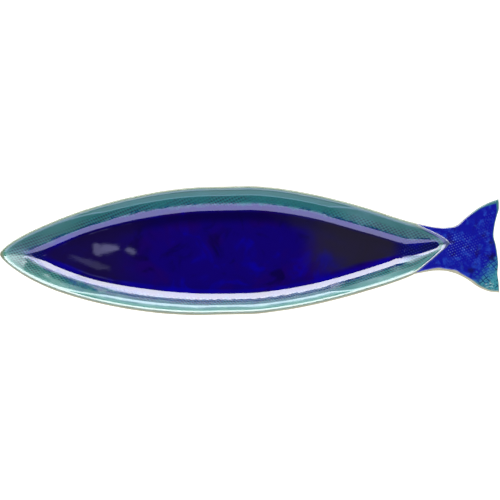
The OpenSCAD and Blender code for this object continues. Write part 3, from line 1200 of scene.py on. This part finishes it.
def addUnderface(shape, lowZ):
    # a copy of the open face at the low heights, joined to it all round
    tops, edges = shape.verts[:], openEdges(shape)
    made = bmesh.ops.duplicate(shape, geom=everything(shape))
    twin = made["vert_map"]
    for vert, z in zip(tops, lowZ):
        twin[vert].co.z = z
    bmesh.ops.reverse_faces(shape, faces=picked(made["geom"], bmesh.types.BMFace))
    for e in edges:
        a, b = e.verts
        shape.faces.new((a, b, twin[b], twin[a]))
    bmesh.ops.recalc_face_normals(shape, faces=shape.faces)
    return [twin[vert] for vert in tops]


def makeTailFin():
    g = finShape
    shape, u, v = gridShape(g["lines"], g["pulls"])
    points = finPlan(u, v)
    gap, root = gapsToEdges(u, v, points)
    drop = roundedDrop(gap, u)
    topZ = g["top"] + finLift(u, v, points, root) - drop
    topZ += g["weave"] * weaveAt(points) * fade(0.3, 1.5, gap)
    baseZ = g["base"] + finRise(u, v) + drop * 0.8
    moveTo(shape.verts, points, topZ)
    addUnderface(shape, baseZ)
    finishPiece("tailFin", shape, ["tail_fin"], clay)


makeTailFin()


tailCoat = {
    "thickness": 0.5,
    "backMargin": 0.15,      # clay left bare along each side, and how uneven it is
    "backUneven": 0.1,
    "frontMargin": 0.75,
    "frontUneven": 0.35,
    "endMargin": 0.5,
    "endUneven": 0.3,
    "rootInset": 0.7,
    "edgeBulge": 0.9,        # run over which the coat reaches its full thickness
    "frontTip": (0.74, 0.67),
    "backTip": (0.8, 0.17),
    "clothSpot": (181, 3),   # where the pressed cloth shows best
    "weave": 0.06,
    "unevenness": 0.03,
    "lines": (210, 150),
    "pulls": (0.5, 0.55),
}


def makeTailGlazes():
    g = tailCoat
    shape, u, v = gridShape(g["lines"], g["pulls"])
    width = np.linalg.norm(finPlan(u, 0 * v) - finPlan(u, 0 * v + 1), axis=1)
    run = np.linalg.norm(finPlan(0 * u, v) - finPlan(0 * u + 1, v), axis=1)
    ramble = noiseAt(np.stack([u * 60, v * 20], axis=1), 5, 3.3)
    backShare = (g["backMargin"] + g["backUneven"] * (1 + ramble)) * fade(0, 0.1, u) / width
    frontShare = (g["frontMargin"] + g["frontUneven"] * ramble) * fade(0, 0.12, u) / width
    endRamble = noiseAt(np.stack([v * 70, u * 0], axis=1), 5, 1.9)
    endShare = (g["endMargin"] + g["endUneven"] * endRamble) / run
    v2 = backShare + v * (1 - backShare - frontShare)
    u2 = u * (1 - endShare)
    points = finPlan(u2, v2, g["rootInset"])
    gap, root = gapsToEdges(u2, v2, points)
    clayZ = finShape["top"] + finLift(u2, v2, points, root) - roundedDrop(gap, u2)
    rim = np.minimum(np.minimum(v, 1 - v) * width, (1 - u) * run)
    bulge = np.sqrt(1 - np.clip(1 - rim / g["edgeBulge"], 0, 1) ** 2)
    coat = g["thickness"] * (0.12 + 0.88 * bulge)
    patches = fade(0, 0.3, noiseAt(points, 14, 4.9))
    middle = 1 - fade(6, 15, np.linalg.norm((points - g["clothSpot"]) * (0.75, 1), axis=1))
    worn = 0.35 + 0.65 * fade(-0.25, 0.35, noiseAt(points, 6.5, 2.7))
    cloth = np.maximum(0.8 * middle * worn, 0.12 * patches) * fade(0.5, 3, rim) * fade(0.5, 2, root)
    weave = g["weave"] * weaveAt(points) * cloth
    fine = g["unevenness"] * noiseAt(points, 3, 6.6)
    topZ = np.minimum(clayZ + coat + weave + fine, heights["rimTop"] - 0.02)
    moveTo(shape.verts, points, topZ)
    writeGuides(shape, {"inset": rim, "cloth": cloth, "under": clayZ - 0.02, "u": u, "v": v})
    keepNormals(shape)

    def inTip(f, layers):
        a, b = (sum(vert[layer] for vert in f.verts) / 4 for layer in layers)
        sway = 0.012 * math.sin(a * 40) + 0.01 * math.sin(b * 55)
        return (a + sway > g["frontTip"][0] and b + sway > g["frontTip"][1]
                or a + sway > g["backTip"][0] and b - sway < g["backTip"][1])

    for name, node, slotName, tips in (("tailGlaze", "tail_glaze", "cobalt_glaze", False),
                                       ("finTipGlaze", "fin_tip_glaze", "turquoise_glaze", True)):
        part = shape.copy()
        layers = [part.verts.layers.float[key] for key in ("u", "v")]
        bmesh.ops.delete(part, geom=[f for f in part.faces if inTip(f, layers) != tips],
                         context="FACES")
        low = part.verts.layers.float["under"]
        normal = part.verts.layers.float_vector["skinNormal"]
        for vert in addUnderface(part, [vert[low] for vert in part.verts]):
            vert[normal] = (0, 0, 0)
        glaze = makeMaterial(name, finGlaze, tailLook, "inset", "cloth")
        finishPiece(name, part, [node], glaze)
    shape.free()


makeTailGlazes()


# Foot ring and the pale glaze of the underside

footShape = {"inset": 26, "width": 6, "round": 1.1, "unevenness": 0.05}


def makeFootRing():
    r, top = footShape["round"], heights["foot"]
    outer, inner = footShape["inset"], footShape["inset"] + footShape["width"]
    section, first = startSection(inner, top)
    pen = drawTo(section, first, (outer, top, 1.2), (outer, r, 0.6))
    pen = drawArc(section, pen, r, (-90, -180), 0.3)
    pen = drawTo(section, pen, (inner - r, 0, 1))
    pen = drawArc(section, pen, r, (-180, -270), 0.3)
    pen = drawTo(section, pen, (inner, top - 0.01, 0.6))
    section.edges.new((pen, first))
    spinSection(section)
    wrapOnPlan(section, lambda points, inset, z: footShape["unevenness"] * noiseAt(points, 6, 5.5)
               * fade(0.3, 1.2, z) * (1 - fade(2.6, 3.4, z)))
    finishPiece("footRing", section, ["foot_ring"], clay)


makeFootRing()


undersideShape = {
    "thickness": 0.4,
    "top": (1.9, 17.1),
    "end": 24.2,             # the coat stops short of the foot ring
    "unevenness": 0.06,
    "finLines": (90, 70),
    "finPulls": (0.3, 0.3),
}


def makeUndersideGlaze():
    g, b = undersideShape, bodyShape
    foot, seat, end = heights["foot"], heights["seat"], g["end"]
    (topInset, topZ), (lipInset, lipZ) = g["top"], b["lip"]
    slope = math.radians(b["outerSlope"])
    centreInset, centreZ = heights["floorInset"], foot + b["baseRound"]
    low, high = b["baseRound"] + g["thickness"], b["baseRound"] - 0.1
    section, first = startSection(topInset, topZ)
    pen = drawTo(section, first, (lipInset - 0.3, lipZ - 0.25, 0.5),
                 (centreInset - low * math.sin(slope), centreZ - low * math.cos(slope), 1))
    pen = drawArc(section, pen, -low, (b["outerSlope"], 0), 1)
    pen = drawTo(section, pen, (end - 0.3, foot - g["thickness"], 0.7), (end, foot - seat, 0.2),
                 (end - 0.2, foot + seat, 0.2), (centreInset, centreZ - high, 3))
    pen = drawArc(section, pen, -high, (0, b["outerSlope"]), 2)
    pen = drawTo(section, pen, (lipInset + 0.1, lipZ + 0.1, 3), (topInset + 0.01, topZ + 0.2, 3))
    section.edges.new((pen, first))
    spinSection(section)
    wrapOnPlan(section, lambda points, inset, z: g["unevenness"] * noiseAt(points, 14, 2.8))

    fin, u, v = gridShape(g["finLines"], g["finPulls"])
    across = 0.035 + 0.93 * v
    along = 0.04 + 0.93 * u
    points = finPlan(along, across, 0)
    rim = np.minimum(np.minimum(v, 1 - v) * 45, np.minimum(u, 1 - u) * 40)
    coat = g["thickness"] * (0.15 + 0.85 * np.sqrt(1 - np.clip(1 - rim, 0, 1) ** 2))
    moveTo(fin.verts, points, finShape["base"] + finRise(along, across) - coat + 0.02)
    bmesh.ops.solidify(fin, geom=fin.faces[:], thickness=0.3)
    bmesh.ops.recalc_face_normals(fin, faces=fin.faces)
    finMesh = meshOf("finUnder", fin)
    section.from_mesh(finMesh)
    bpy.data.meshes.remove(finMesh)
    glaze = makeMaterial("paleGlaze", paleGlaze, paleLook)
    finishPiece("undersideGlaze", section, ["underside_glaze"], glaze)


makeUndersideGlaze()


# Floor, lights and camera

studio = {
    "floorSize": 6.0,
    "floorTone": (0.9, 0.9, 0.9, 1),
    "floorGlow": 0.45,
    "backSoftbox": {"tilt": 55, "distance": 1.2, "tall": 1.12, "wide": 2.9, "watts": 141,
                    "colour": (0.93, 0.94, 1.0)},
    "frontFill": {"tilt": -40, "distance": 1.2, "tall": 1.16, "wide": 2.9, "watts": 54,
                  "colour": (0.62, 0.62, 1.0)},
    "ceilingSpots": [        # small dim panels that the pool mirrors: place, size, turn, watts
        ((-0.226, 0.186, 1.3), (0.032, 0.016), 8, 0.0033),
        ((-0.246, 0.183, 1.3), (0.018, 0.012), -30, 0.0012),
        ((-0.191, 0.181, 1.3), (0.011, 0.02), 60, 0.0012),
        ((-0.258, 0.162, 1.3), (0.066, 0.009), -19, 0.0011),
    ],
    "skylight": 0.95,        # sky as the matt faces meet it, and as it shows in the glaze
    "overhead": 0.02,
    "cameraElevation": 82,
    "cameraDistance": 1.5,
    "aim": (0.00034, -0.00025, 0.024),
    "frameWidth": 0.4287,
}


def addFloor():
    shape = bmesh.new()
    bmesh.ops.create_grid(shape, x_segments=1, y_segments=1, size=studio["floorSize"] / 2)
    mesh = meshOf("floor", shape)
    floor = linked("floor", mesh)
    material = bpy.data.materials.new("paleFloor")
    tree = emptyTree(material)
    matt = put(tree, "BsdfDiffuse", {"Color": studio["floorTone"]})
    glow = put(tree, "Emission", {"Color": (1, 1, 1, 1), "Strength": studio["floorGlow"]})
    both = put(tree, "AddShader", {0: matt.outputs[0], 1: glow.outputs[0]})
    put(tree, "OutputMaterial", {"Surface": both.outputs[0]})
    mesh.materials.append(material)


def addPanel(name, form, size, watts, colour, place, turn):
    # a lamp that is seen in what shines and nowhere else
    light = bpy.data.lights.new(name, "AREA")
    light.shape = form
    light.size, light.size_y = size
    light.energy = watts
    light.color = colour
    panel = linked(name, light)
    panel.location = place
    panel.rotation_euler = turn
    panel.visible_camera = False
    panel.visible_diffuse = False


def addSoftbox(name, tilt, distance, tall, wide, watts, colour):
    a = math.radians(tilt)
    addPanel(name, "RECTANGLE", (wide, tall), watts, colour,
             (0, distance * math.sin(a), distance * math.cos(a)), (-a, 0, 0))


def addCeilingSpots():
    for k, (place, size, turn, watts) in enumerate(studio["ceilingSpots"]):
        addPanel("ceilingSpot" + str(k + 1), "ELLIPSE", size, watts, studio["frontFill"]["colour"],
                 place, (0, 0, math.radians(turn)))


def addSky():
    world = bpy.data.worlds.new("studioSky")
    tree = emptyTree(world)
    paths = put(tree, "LightPath").outputs
    strength = put(tree, "MapRange", {"Value": paths["Is Glossy Ray"], "To Min": studio["skylight"],
                                      "To Max": studio["overhead"]}).outputs[0]
    strength = larger(strength, paths["Is Camera Ray"])
    sky = put(tree, "Background", {"Color": (1, 1, 1, 1), "Strength": strength})
    put(tree, "OutputWorld", {"Surface": sky.outputs[0]})
    bpy.context.scene.world = world


def addCamera():
    lens = bpy.data.cameras.new("camera")
    lens.sensor_width = 36
    lens.lens = lens.sensor_width * studio["cameraDistance"] / studio["frameWidth"]
    lens.clip_start = 0.01
    camera = linked("camera", lens)
    e = math.radians(studio["cameraElevation"])
    away = Vector((0, -math.cos(e), math.sin(e))) * studio["cameraDistance"]
    camera.location = Vector(studio["aim"]) + away
    camera.rotation_euler = (math.pi / 2 - e, 0, 0)
    bpy.context.scene.camera = camera


addFloor()
addSoftbox("backSoftbox", **studio["backSoftbox"])
addSoftbox("frontFill", **studio["frontFill"])
addCeilingSpots()
addSky()
addCamera()
bpy.context.scene.view_settings.view_transform = "Standard"
print("studio ready")
